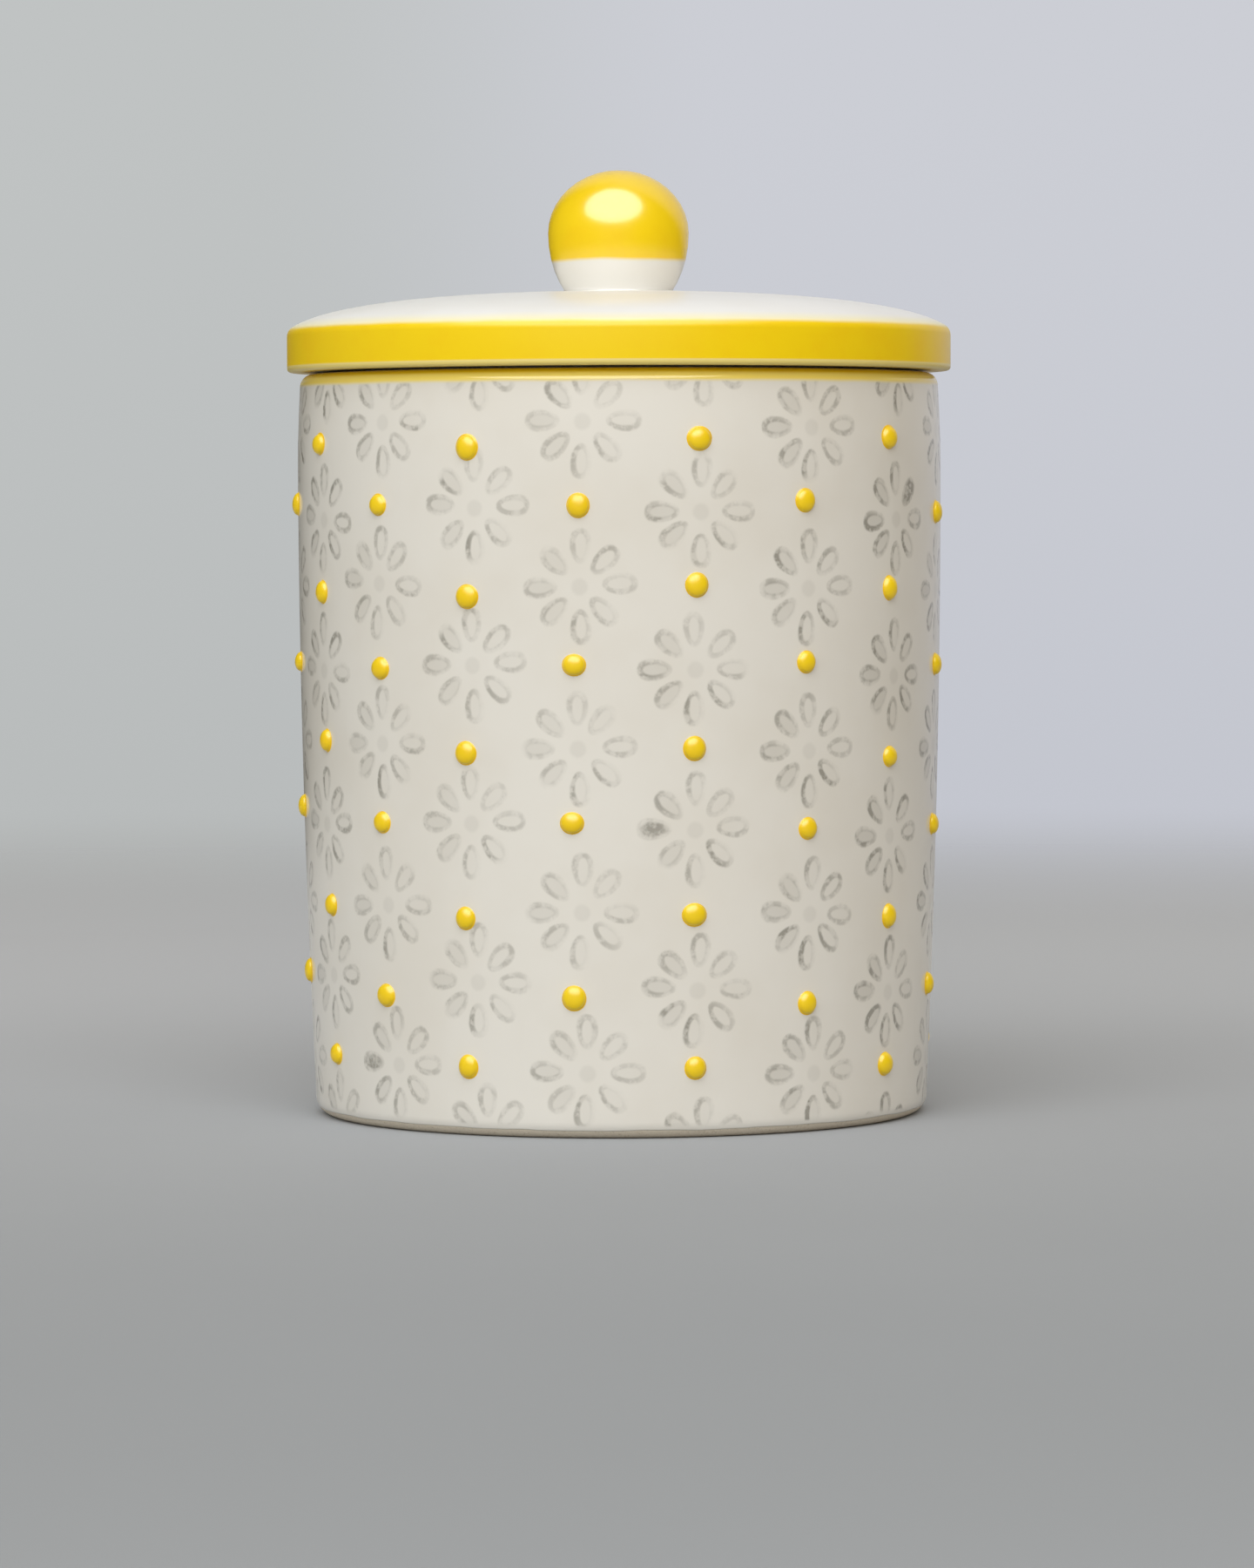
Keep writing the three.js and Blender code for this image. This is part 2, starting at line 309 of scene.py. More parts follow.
def lid_outline():
    underside_top = lid_top - LID_THICKNESS
    flange_inner = flange_radius - FLANGE_WALL
    dish_height = underside_top - DISH_FALL - DISH_CORNER
    top_corner = arc((lid_radius - LID_TOP_CORNER, lid_corner), LID_TOP_CORNER, 0, RIGHT - DOME_SLOPE)
    radius, height = top_corner[-1]
    climb = (
        radius - DOME_SHOULDER * math.cos(DOME_SLOPE),
        height + DOME_SHOULDER * math.sin(DOME_SLOPE),
    )
    flat_edge = KNOB_NECK + DOME_FLAT
    dome = bezier(top_corner[-1], climb, (flat_edge + DOME_CROWN, lid_top), (flat_edge, lid_top))
    dish_edge = flange_inner - DISH_CORNER
    under = rounded(
        [
            (VENT_RADIUS, lid_top, 0),
            (VENT_RADIUS, underside_top, SMALL_ROUND),
            (dish_edge, underside_top - DISH_FALL, DISH_LEAD),
            (flange_inner, dish_height, 0),
        ]
    )
    under = [point for point in under if point[0] < dish_edge]
    dish = arc((dish_edge, dish_height), DISH_CORNER, RIGHT, 0)
    flange = rounded(
        [
            (flange_inner, dish_height, 0),
            (flange_inner, lid_low.z, FLANGE_ROUND),
            (flange_radius, lid_low.z, FLANGE_ROUND),
            (flange_radius, groove_bottom, GROOVE_ROUND),
            (groove_radius, groove_bottom, GROOVE_ROUND),
            (groove_radius, groove_top, GROOVE_ROUND),
            (flange_radius, groove_top, GROOVE_ROUND),
            (flange_radius, lid_seat, SMALL_ROUND),
            (lid_radius, lid_seat, LID_UNDER_CORNER),
            (lid_radius, lid_corner, 0),
        ]
    )
    return [*under, *dish, *flange, *top_corner, *dome, (VENT_RADIUS, lid_top)]


def knob_outline():
    neck_angle = math.acos(KNOB_NECK / knob_radius)
    lower_rise = knob_drop / math.sin(neck_angle)
    hollow = knob_radius - KNOB_WALL
    vent_angle = math.acos(VENT_RADIUS / hollow)
    centre = (0, knob_widest)
    lower = arc(centre, knob_radius, -neck_angle, 0, lower_rise)
    side = (Vector(lower[1]) - Vector(lower[0])).normalized()
    level = Vector((1, 0))
    foot = Vector((KNOB_NECK, lid_top))
    reach = NECK_FILLET / math.tan(math.atan2(side.y, side.x) / 2)
    hold = reach * FILLET_HOLD
    side_end = foot + side * reach
    fillet = bezier(foot + level * reach, foot + level * hold, foot + side * hold, side_end, FILLET_STEPS)
    return [
        *arc(centre, hollow, RIGHT, 0, KNOB_CAP - KNOB_WALL),
        *arc(centre, hollow, 0, -vent_angle, knob_drop - KNOB_BASE),
        (VENT_RADIUS, lid_top),
        *fillet,
        *[point for point in lower if point[1] > side_end.y],
        *arc(centre, knob_radius, 0, RIGHT, KNOB_CAP),
    ]


def seal_outline():
    side = seal_high.x
    body = groove_radius + SEAL_CLEARANCE + SEAL_BODY
    bore = body - SEAL_BODY
    corners = [(bore, seal_low.z, FIN_ROUND), (body, seal_low.z, FIN_ROUND)]
    for fin in range(FIN_COUNT):
        share = (fin + 0.5) / FIN_COUNT
        height = seal_low.z + (seal_high.z - seal_low.z) * share - FIN_TILT / 2
        corners.append((body, height - FIN_ROOT / 2, FIN_ROUND))
        corners.append((side, height + FIN_TILT - FIN_TIP / 2, FIN_ROUND))
        corners.append((side, height + FIN_TILT + FIN_TIP / 2, FIN_ROUND))
        corners.append((body, height + FIN_ROOT / 2, FIN_ROUND))
    corners += [(body, seal_high.z, FIN_ROUND), (bore, seal_high.z, FIN_ROUND)]
    return rounded(corners)


# Meshes

def mesh_object(name, points, faces, material):
    """A smooth-shaded mesh object from points in millimetres."""
    mesh = bpy.data.meshes.new(name)
    mesh.from_pydata([tuple(c * MM for c in p) for p in points], [], faces)
    mesh.validate()
    mesh.shade_smooth()
    mesh.set_sharp_from_angle(angle=SHARP)
    mesh.materials.append(material)
    made = bpy.data.objects.new(name, mesh)
    bpy.context.scene.collection.objects.link(made)
    return made


def spun(outline, steps):
    """Points and faces of an outline turned round the Z axis.

    An outline that doesn't start on the axis is closed to a ring.
    """
    points = []
    rings = []
    for radius, height in outline:
        if radius < SAME_POINT:
            rings.append([len(points)] * steps)
            points.append((0.0, 0.0, height))
            continue
        rings.append(range(len(points), len(points) + steps))
        for i in range(steps):
            angle = TURN * i / steps
            points.append((radius * math.sin(angle), -radius * math.cos(angle), height))
    if outline[0][0] > SAME_POINT:
        rings.append(rings[0])
    faces = []
    for low, high in zip(rings, rings[1:]):
        for i in range(steps):
            j = (i + 1) % steps
            faces.append(tuple(dict.fromkeys((low[i], low[j], high[j], high[i]))))
    return points, faces


def turned(name, outline, material):
    """An object turned from a closed outline, or from one that starts and ends on the axis."""
    outline = divided(outline)
    if outline[0][0] > SAME_POINT and math.dist(outline[0], outline[-1]) < SAME_POINT:
        outline.pop()
    points, faces = spun(outline, TURN_STEPS)
    return mesh_object(name, points, faces, material)


def stray(waves, column, row, sine=math.sin):
    """How far the waves shift what belongs to a column and row."""
    return sum(sine(column * a + row * b + phase) * size for size, a, b, phase in waves)


def dot_places():
    """Angle, from the front towards +X, and height of every dot."""
    places = []
    for column in range(1 - COLUMN_PAIRS, COLUMN_PAIRS + 1):
        first, step = (FULL_FIRST, FULL_STEP) if column % 2 else (SHIFTED_FIRST, SHIFTED_STEP)
        even = column * math.pi / COLUMN_PAIRS
        column_angle = FRONT_COLUMN + even + CROWDING * math.sin(even + CROWDING_PHASE)
        row = 0
        while first + row * step < jar_height - RIM_MARGIN:
            height = first + row * step + stray(UP_STRAY, column, row)
            angle = column_angle + stray(SIDE_STRAY, column, row) / wall_radius(height)
            places.append((angle, height))
            row += 1
    return places


def dot_outline(radius, rise):
    """A drop that swells past a thin skirt, closed underneath inside the wall."""
    skirt = radius + DOT_SKIRT
    shelf = DOT_SHELF * rise
    dome = arc((0, shelf), radius, DOT_TUCK, RIGHT, rise - shelf)
    foot = bezier((skirt, -SKIRT_SINK), (radius + SKIRT_RUN, 0), dome[0], dome[0], SKIRT_STEPS)
    return [(0, -DOT_ROOT), (skirt, -DOT_ROOT), *foot[:-1], *dome]


def glaze_dots(material):
    """All the dots as one object, which also holds how high each point lies on its dot."""
    chance = random.Random(DOT_SEED)
    points = []
    faces = []
    heights = []
    for angle, height in dot_places():
        radius = DOT_RADIUS * chance.uniform(*DOT_SIZES)
        rise = DOT_RISE * chance.uniform(*DOT_RISES)
        squash = chance.uniform(*DOT_SQUASHES)
        own_points, own_faces = spun(dot_outline(radius, rise), DOT_TURN_STEPS)
        offset = len(points)
        faces += [tuple(offset + v for v in face) for face in own_faces]
        wall = wall_radius(height)
        place = Matrix.Rotation(angle, 3, "Z")
        for x, y, z in own_points:
            lift = max(z, 0) / rise
            sideways = x * squash
            depth = wall + z - sideways**2 / (2 * wall)
            points.append(place @ Vector((sideways, -depth, height + y / squash - DOT_SAG * lift)))
            heights.append(lift)
    made = mesh_object("glaze_dots", points, faces, material)
    lifts = made.data.attributes.new("lift", "FLOAT", "POINT")
    lifts.data.foreach_set("value", heights)
    return made


# Numbers in materials

class Number:
    """A number that varies over a surface. Sums and products of it become Math nodes."""

    def __init__(self, socket):
        self.socket = socket

    def __add__(self, other):
        return worked("ADD", self, other)

    def __sub__(self, other):
        return worked("SUBTRACT", self, other)

    def __rsub__(self, other):
        return worked("SUBTRACT", other, self)

    def __mul__(self, other):
        return worked("MULTIPLY", self, other)

    def __truediv__(self, other):
        return worked("DIVIDE", self, other)

    __radd__ = __add__
    __rmul__ = __mul__


def feed(slot, value):
    """Links a socket to a Number, or sets it to a plain value."""
    if isinstance(value, Number):
        slot.id_data.links.new(value.socket, slot)
    else:
        slot.default_value = value


def new_node(number, kind):
    return number.socket.id_data.nodes.new(kind)


def worked(operation, *terms):
    number = next(term for term in terms if isinstance(term, Number))
    node = new_node(number, "ShaderNodeMath")
    node.operation = operation
    for slot, term in zip(node.inputs, terms):
        feed(slot, term)
    return Number(node.outputs[0])


def fade(value, start, end):
    """0 before start, 1 after end and smooth between. Start may be the larger."""
    node = new_node(value, "ShaderNodeMapRange")
    node.interpolation_type = "SMOOTHSTEP"
    feed(node.inputs["Value"], value)
    feed(node.inputs["From Min"], start)
    feed(node.inputs["From Max"], end)
    return Number(node.outputs[0])


def edge(value, place, reach):
    """A fade near a place. Reach says how far from it the fade starts and ends."""
    start, end = reach
    return fade(value, place + start, place + end)


def between(a, b, share):
    return a + (b - a) * share


def sine_of(angle):
    return worked("SINE", angle)


def cosine_of(angle):
    return worked("COSINE", angle)


def hypot(a, b):
    return worked("SQRT", a * a + b * b)


def vector(x, y, z=0.0):
    node = new_node(x, "ShaderNodeCombineXYZ")
    for slot, value in zip(node.inputs, (x, y, z)):
        feed(slot, value)
    return node.outputs[0]


def chances(x, y, z=0.0):
    """Three random numbers, 0 to 1, that belong to a whole-numbered place."""
    node = new_node(x, "ShaderNodeTexWhiteNoise")
    node.noise_dimensions = "3D"
    node.id_data.links.new(vector(x, y, z), node.inputs["Vector"])
    parts = new_node(x, "ShaderNodeSeparateXYZ")
    node.id_data.links.new(node.outputs["Color"], parts.inputs[0])
    return [Number(socket) for socket in parts.outputs]


def noise(position, scale, detail=2.0, roughness=0.5):
    """Smooth noise, about 0.5 on average. The scale is in waves per millimetre."""
    node = position.id_data.nodes.new("ShaderNodeTexNoise")
    position.id_data.links.new(position, node.inputs["Vector"])
    node.inputs["Scale"].default_value = scale
    node.inputs["Detail"].default_value = detail
    node.inputs["Roughness"].default_value = roughness
    return Number(node.outputs[0])


# Colours

def rgb(red, green, blue):
    """A screen colour, 0 to 255, as the linear colour that a shader takes."""
    def linear(part):
        share = part / 255
        return share / 12.92 if share <= 0.04045 else ((share + 0.055) / 1.055) ** 2.4

    return (linear(red), linear(green), linear(blue), 1.0)


def mixed(first, second, share):
    """Nodes that mix two colours. Each is a plain colour or the socket of one."""
    tree = share.socket.id_data
    node = tree.nodes.new("ShaderNodeMix")
    node.data_type = "RGBA"
    colour_slots = [slot for slot in node.inputs if slot.type == "RGBA"]
    for slot, colour in zip(colour_slots, (first, second)):
        if isinstance(colour, tuple):
            slot.default_value = colour
        else:
            tree.links.new(colour, slot)
    feed(node.inputs[0], share)
    return next(slot for slot in node.outputs if slot.type == "RGBA")


IVORY = rgb(229, 226, 218)
IVORY_DEEP = rgb(221, 216, 205)
WHITE_GLAZE = rgb(241, 241, 239)
WHITE_DEEP = rgb(234, 232, 226)
YELLOW_PALE = rgb(228, 207, 118)
INK = rgb(112, 108, 96)
YELLOW = rgb(247, 211, 2)
YELLOW_DEEP = rgb(244, 194, 0)
# Pale yellow: thin paint over the lid band's top edge, and a painted highlight there and on the jar's lip
YELLOW_THIN_AND_HIGHLIGHT = rgb(248, 236, 150)
BARE_CLAY = rgb(214, 203, 184)
CLAY_GRAIN = rgb(176, 158, 132)
SILICONE = rgb(226, 227, 224)
DUST = rgb(205, 205, 205)


# Materials

class Surface:
    """A new material with the place on the object, in millimetres, ready for its nodes."""

    def __init__(self, name):
        self.material = bpy.data.materials.new(name)
        self.material.use_nodes = True
        self.tree = self.material.node_tree
        self.shader = self.tree.nodes["Principled BSDF"]
        place = self.tree.nodes.new("ShaderNodeTexCoord")
        scaled = self.tree.nodes.new("ShaderNodeVectorMath")
        scaled.operation = "SCALE"
        scaled.inputs["Scale"].default_value = 1 / MM
        self.tree.links.new(place.outputs["Object"], scaled.inputs[0])
        self.place = scaled.outputs[0]
        parts = self.tree.nodes.new("ShaderNodeSeparateXYZ")
        self.tree.links.new(self.place, parts.inputs[0])
        self.x, self.y, self.z = (Number(socket) for socket in parts.outputs)

    def set(self, **values):
        for name, value in values.items():
            feed(self.shader.inputs[name.replace("_", " ")], value)

    def colour(self, socket):
        self.tree.links.new(socket, self.shader.inputs["Base Color"])

    def relief(self, *heights):
        """Bump from heights in millimetres, one node for each."""
        normal = None
        for height in heights:
            node = self.tree.nodes.new("ShaderNodeBump")
            node.inputs["Distance"].default_value = MM
            feed(node.inputs["Height"], height)
            if normal:
                self.tree.links.new(normal, node.inputs["Normal"])
            normal = node.outputs[0]
        self.tree.links.new(normal, self.shader.inputs["Normal"])


# Finishes that the materials share. Scales are in waves per millimetre, and depths in millimetres. A range
# is the stretch of the noise over which its patches fade in.
WAVE_SCALE = 0.055
WAVE_DEPTH = 0.08
PEEL_SCALE = 0.9
PEEL_DEPTH = 0.004
CLOUD_SCALE = 0.045
CLOUD_RANGE = (0.35, 0.75)
CLOUD_STRENGTH = 0.55
PATCH_SCALE = 0.16
PATCH_RANGE = (0.35, 0.8)
PATCH_STRENGTH = 0.35
GRAIN_SCALE = 2.4
GRAIN_RANGE = (0.52, 0.72)
GRAIN_STRENGTH = 0.6
GRIT_DEPTH = 0.06
HAND_SCALE = 0.11
GLAZE_IOR = 1.55
CLAY_ROUGHNESS = 0.75


def glaze_relief(surface):
    """The slow waves of a poured glaze and its fine orange peel."""
    waves = noise(surface.place, WAVE_SCALE, detail=1.0) * WAVE_DEPTH
    peel = noise(surface.place, PEEL_SCALE) * PEEL_DEPTH
    return [waves, peel]


def mottled(surface, light, deep):
    """A glaze colour with soft clouds of its deeper tone."""
    clouds = fade(noise(surface.place, CLOUD_SCALE, detail=3.0, roughness=0.6), *CLOUD_RANGE)
    return mixed(light, deep, clouds * CLOUD_STRENGTH)


def yellow(surface):
    """Painted yellow, uneven as brushed glaze is."""
    patches = fade(noise(surface.place, PATCH_SCALE, detail=3.0, roughness=0.6), *PATCH_RANGE)
    return mixed(YELLOW, YELLOW_DEEP, patches * PATCH_STRENGTH)


def clay_grain(surface):
    return noise(surface.place, GRAIN_SCALE, detail=3.0, roughness=0.7)


def clay(surface):
    """Bare fired clay with its grain."""
    return mixed(BARE_CLAY, CLAY_GRAIN, fade(clay_grain(surface), *GRAIN_RANGE) * GRAIN_STRENGTH)


def wavy(surface, amount):
    """A small unsteadiness of the hand along a painted edge."""
    return (noise(surface.place, HAND_SCALE) - 0.5) * (2 * amount)


# The stamped print. The stamp pressed harder on one side and one end of a petal, by weights for how upright
# and how level the petal is, and a constant. Pairs are where a fade starts and ends.
EYE_EDGE = 0.35
EYE_STRENGTH = 0.1
FLOWER_TWIST = 0.1
PETAL_BEND = 0.1
PETAL_PUSH = 0.4
LINE_THINNEST = 0.2  # half width
LINE_SWELL = 0.3
LINE_SWELL_SCALE = 0.35
LINE_OUTER_EDGE = 0.28
LINE_INNER_EDGE = 0.18
LEAST_SLOPE = 0.01  # keeps a petal's middle from being divided by nothing
HEAVY_SIDE = (0.45, -0.12, -0.1)
HEAVY_SIDE_CHANCE = 0.5
HEAVY_SIDE_SHARE = 0.9
HEAVY_END = (0.29, -0.26, 0.16)
HEAVY_END_SHARE = 0.6
EVEN_PRESSURE = 0.6
LEAST_PRESSURE = 0.1
OPEN_END = (0.35, 1.0)  # along a petal, from its middle at 0 to its tip at 1
OPEN_CHANCE = (0.6, 0.9)
OPEN_STRENGTH = 0.8
BREAK_SCALE = 0.8
BREAK_RANGE = (0.36, 0.62)
BREAK_STRENGTH = 0.65
WEIGHT_SPREAD = 0.4
STROKE_STRENGTH = 0.62
FLOODED_CHANCE = (0.985, 0.99)
FLOOD_EDGE = (1.1, 0.5)  # from a petal's middle at 0 to its outline at 1
FLOOD_STRENGTH = 0.5
WASH_EDGE = (1.15, 0.7)
WASH_STRENGTH = 0.05
WASH_LEAN = -0.09
DARKEST_INK = 0.7
OTHER_ROWS = 40  # shifts that draw other chances for the same petal
OTHER_COLUMNS = 60


def flower_cell(surface, odd):
    """Place within the nearest flower of the odd or the even columns, and its column and row."""
    spacing = math.pi / COLUMN_PAIRS
    angle = worked("ARCTAN2", surface.x, surface.y * -1) - FLOWER_ASIDE / shoulder_radius
    plain = angle - FRONT_COLUMN
    even = plain - sine_of(plain + CROWDING_PHASE) * CROWDING
    even = plain - sine_of(even + CROWDING_PHASE) * CROWDING
    column = worked("ROUND", (even / spacing - odd) / 2) * 2 + odd
    column = column + worked("LESS_THAN", column, 0.5 - COLUMN_PAIRS) * (2 * COLUMN_PAIRS)
    target = column * spacing
    target = target + sine_of(target + CROWDING_PHASE) * CROWDING + FRONT_COLUMN
    first, step = (FULL_FIRST, FULL_STEP) if odd else (SHIFTED_FIRST, SHIFTED_STEP)
    row = worked("ROUND", (surface.z - (first - step / 2)) / step)
    aside = worked("WRAP", angle - target, math.pi, -math.pi) * hypot(surface.x, surface.y)
    up = surface.z - (row * step + (first - step / 2))
    return aside, up, column, row


def nearest_flower(surface):
    """Place within the nearest flower where it has strayed to, with its column, its row and a chance."""
    cells = [flower_cell(surface, odd) for odd in (1, 0)]
    distances = [hypot(aside, up) for aside, up, column, row in cells]
    second = worked("LESS_THAN", distances[1], distances[0])
    aside, up, column, row = (between(a, b, second) for a, b in zip(*cells))
    left, low, chance = chances(column, row)
    aside = aside - stray(FLOWER_SIDE_STRAY, column, row, sine_of) + (left - 0.5) * (2 * FLOWER_CHANCE)
    up = up - stray(FLOWER_UP_STRAY, column, row, sine_of) + (low - 0.5) * (2 * FLOWER_CHANCE)
    return aside, up, column, row, chance


def petal_ink(surface, reach, angle, column, row):
    """Ink of a flower's petals: broken outlines, a faint wash and a few petals filled by chance."""
    sector = TURN / PETALS
    petal = worked("ROUND", angle / sector)
    upright, level = sine_of(petal * sector), cosine_of(petal * sector)
    own = worked("FLOORED_MODULO", petal, PETALS)
    bend, push, side = chances(column, row + OTHER_ROWS, own)
    open_end, weight, flooded = chances(column + OTHER_COLUMNS, row, own)

    lean = angle - petal * sector + (bend - 0.5) * PETAL_BEND
    centre = cosine_of(petal * math.pi) * CROSS_REACH + PETAL_CENTRE
    along = reach * cosine_of(lean) - (push - 0.5) * PETAL_PUSH - centre
    across = reach * sine_of(lean)
    width = along * (PETAL_FLARE / PETAL_HALF_LENGTH) + 1
    lengthwise = along / PETAL_HALF_LENGTH
    crosswise = across / (width * PETAL_HALF_WIDTH)
    oval = hypot(lengthwise, crosswise)
    slope = hypot(lengthwise / PETAL_HALF_LENGTH, crosswise / PETAL_HALF_WIDTH)
    gap = worked("ABSOLUTE", (oval - 1) * oval / (slope + LEAST_SLOPE))
    thickness = noise(surface.place, LINE_SWELL_SCALE, detail=1.0) * LINE_SWELL + LINE_THINNEST
    line = fade(gap, thickness + LINE_OUTER_EDGE, thickness - LINE_INNER_EDGE)

    heavy_side, heavy_end = (upright * a + level * b + c for a, b, c in (HEAVY_SIDE, HEAVY_END))
    heavy_side = heavy_side + (side - 0.5) * HEAVY_SIDE_CHANCE
    pressed = crosswise * heavy_side * HEAVY_SIDE_SHARE + lengthwise * heavy_end * HEAVY_END_SHARE
    pressed = worked("MAXIMUM", pressed + EVEN_PRESSURE, LEAST_PRESSURE)
    opened = 1 - fade(lengthwise, *OPEN_END) * fade(open_end, *OPEN_CHANCE) * OPEN_STRENGTH
    solid = fade(noise(surface.place, BREAK_SCALE, roughness=0.6), *BREAK_RANGE)
    breaks = solid * BREAK_STRENGTH + (1 - BREAK_STRENGTH)
    stroke = line * pressed * opened * breaks * (weight * WEIGHT_SPREAD + (1 - WEIGHT_SPREAD))
    flood = fade(oval, *FLOOD_EDGE) * fade(flooded, *FLOODED_CHANCE) * FLOOD_STRENGTH
    wash = fade(oval, *WASH_EDGE) * (worked("MAXIMUM", level * WASH_LEAN, 0) + WASH_STRENGTH)
    return stroke * STROKE_STRENGTH + flood * breaks + wash


def flower_ink(surface):
    """Strength, 0 to 1, of the printed flowers."""
    aside, up, column, row, chance = nearest_flower(surface)
    eye = fade(hypot(aside, up + EYE_DROP), EYE_RADIUS + EYE_EDGE, EYE_RADIUS - EYE_EDGE) * EYE_STRENGTH
    angle = worked("ARCTAN2", up, aside) + (chance - 0.5) * FLOWER_TWIST
    petals = petal_ink(surface, hypot(aside, up), angle, column, row)
    swing = cosine_of(column * (TURN / COLUMN_PAIRS) + FIRMNESS_PHASE)
    return petals * (FIRMNESS - swing * FIRMNESS_SWING) + eye


# The jar's glaze. A wobble is how far the hand strayed along a painted edge.
JAR_ROUGHNESS = 0.16
OUTSIDE_EDGE = (1, 1.4)  # outwards from the mouth
PRINT_TOP_EDGE = (0, -0.5)
PRINT_FOOT_EDGE = (0.4, 1)
LIP_WOBBLE = 0.12
LIP_PAINT_EDGE = (-0.5, 0.25)
# Painted highlight: the lip's yellow is mixed paler below its crown, in place of light on the lip under the
# lid's shadow
LIP_HIGHLIGHT_EDGE = (-0.4, -1)
LIP_HIGHLIGHT_SHARE = 0.5
FOOT_WOBBLE = 0.25
FOOT_EDGE = (-0.1, 0.1)
RECESS_EDGE = (-0.4, -0.9)
GLAZE_THICKNESS = 0.12


def jar_glaze():
    """Ivory with the grey print on its outside, a painted lip whose yellow is mixed paler below its crown as
    a painted highlight, and a bare foot ring.
    """
    surface = Surface("jar_glaze")
    radius = hypot(surface.x, surface.y)
    outside = edge(radius, mouth_radius, OUTSIDE_EDGE)
    below_lip = edge(surface.z, lip_band, PRINT_TOP_EDGE)
    above_foot = edge(surface.z, GLAZE_LINE, PRINT_FOOT_EDGE)
    ink = flower_ink(surface) * outside * above_foot * below_lip
    body = mottled(surface, IVORY, IVORY_DEEP)
    inked = mixed(body, INK, worked("MINIMUM", ink, DARKEST_INK))
    lip = edge(surface.z + wavy(surface, LIP_WOBBLE), lip_band, LIP_PAINT_EDGE)
    # painted highlight: paler yellow on the lower part of the lip
    thin = edge(surface.z, jar_height, LIP_HIGHLIGHT_EDGE) * LIP_HIGHLIGHT_SHARE
    painted = mixed(inked, mixed(yellow(surface), YELLOW_THIN_AND_HIGHLIGHT, thin), lip)
    wall = edge(surface.z + wavy(surface, FOOT_WOBBLE), GLAZE_LINE, FOOT_EDGE)
    recess = edge(radius, foot_inner_radius, RECESS_EDGE)
    glazed = worked("MAXIMUM", wall, recess)
    surface.colour(mixed(clay(surface), painted, glazed))
    surface.set(Roughness=between(CLAY_ROUGHNESS, JAR_ROUGHNESS, glazed), IOR=GLAZE_IOR)
    grit = clay_grain(surface) * (1 - glazed) * GRIT_DEPTH
    surface.relief(*glaze_relief(surface), grit, glazed * GLAZE_THICKNESS)
    return surface.material


# The lid's glaze
LID_ROUGHNESS = 0.3
LID_IOR = 1.38
RIM_EDGE = (2.5, 3)  # outwards from the mouth
BAND_WOBBLE = 0.18
BAND_TOP_EDGE = (0.35, -0.35)
BAND_FOOT_EDGE = (-0.25, 0.2)
HALO_EDGE = (1.6, -0.1)  # of the thin yellow that ran over the band's upper edge, which is partly a painted highlight along the lid's top corner
HALO_STRENGTH = 0.6
THIN_EDGE = (0.2, -0.3)  # of the paler line under the band
FLANGE_EDGE = (-0.8, -0.2)
STAND_HEIGHT = 1  # of the bare clay on the flange's end
STAND_EDGE = (0.1, -0.1)


def lid_glaze():
    """White with a brushed yellow band round its edge, and bare where the flange stood in the kiln."""
    surface = Surface("lid_glaze")
    radius = hypot(surface.x, surface.y)
    rim = edge(radius, mouth_radius, RIM_EDGE)
    shaky = surface.z + wavy(surface, BAND_WOBBLE)
    top = edge(shaky, lid_band_top, BAND_TOP_EDGE)
    halo = edge(shaky, lid_band_top, HALO_EDGE)
    bottom = edge(surface.z, lid_band_bottom, BAND_FOOT_EDGE)
    white = mottled(surface, WHITE_GLAZE, WHITE_DEEP)
    # partly painted highlight: pale yellow just above the band's top edge
    pale = mixed(white, YELLOW_THIN_AND_HIGHLIGHT, halo * rim * HALO_STRENGTH)
    banded = mixed(pale, yellow(surface), top * rim * bottom)
    thin = edge(surface.z, lid_band_bottom, THIN_EDGE) * rim
    banded = mixed(banded, YELLOW_PALE, thin)
    on_flange = edge(radius, flange_radius - FLANGE_WALL, FLANGE_EDGE)
    stood = edge(surface.z, lid_low.z + STAND_HEIGHT, STAND_EDGE) * on_flange
    surface.colour(mixed(banded, clay(surface), stood))
    surface.set(Roughness=between(LID_ROUGHNESS, CLAY_ROUGHNESS, stood), IOR=LID_IOR)
    surface.relief(*glaze_relief(surface), clay_grain(surface) * stood * GRIT_DEPTH)
    return surface.material


# The knob's glaze
KNOB_ROUGHNESS = 0.2
KNOB_IOR = 1.8
DIP_WOBBLE = 0.25
DIP_EDGE = (-0.4, 0.4)


def knob_glaze():
    """Yellow where the knob was dipped, above a white neck that is mixed darker than the lid's white as
    painted shade under the ball.
    """
    surface = Surface("knob_glaze")
    shaky = surface.z + wavy(surface, DIP_WOBBLE)
    dipped = edge(shaky, knob_band, DIP_EDGE)
    # painted shade: the neck's white is a darker mix than the lid's white glaze
    surface.colour(mixed(mottled(surface, WHITE_DEEP, IVORY), yellow(surface), dipped))
    surface.set(Roughness=KNOB_ROUGHNESS, IOR=KNOB_IOR)
    surface.relief(*glaze_relief(surface))
    return surface.material


# The dots' glaze
DOT_ROUGHNESS = 0.3
DOT_RING_EDGE = (0.3, 0.02)  # up a dot, from its foot at 0 to its top at 1
DOT_RING_STRENGTH = 0.7
DIMPLE_SCALE = 0.7
DIMPLE_DEPTH = 0.03


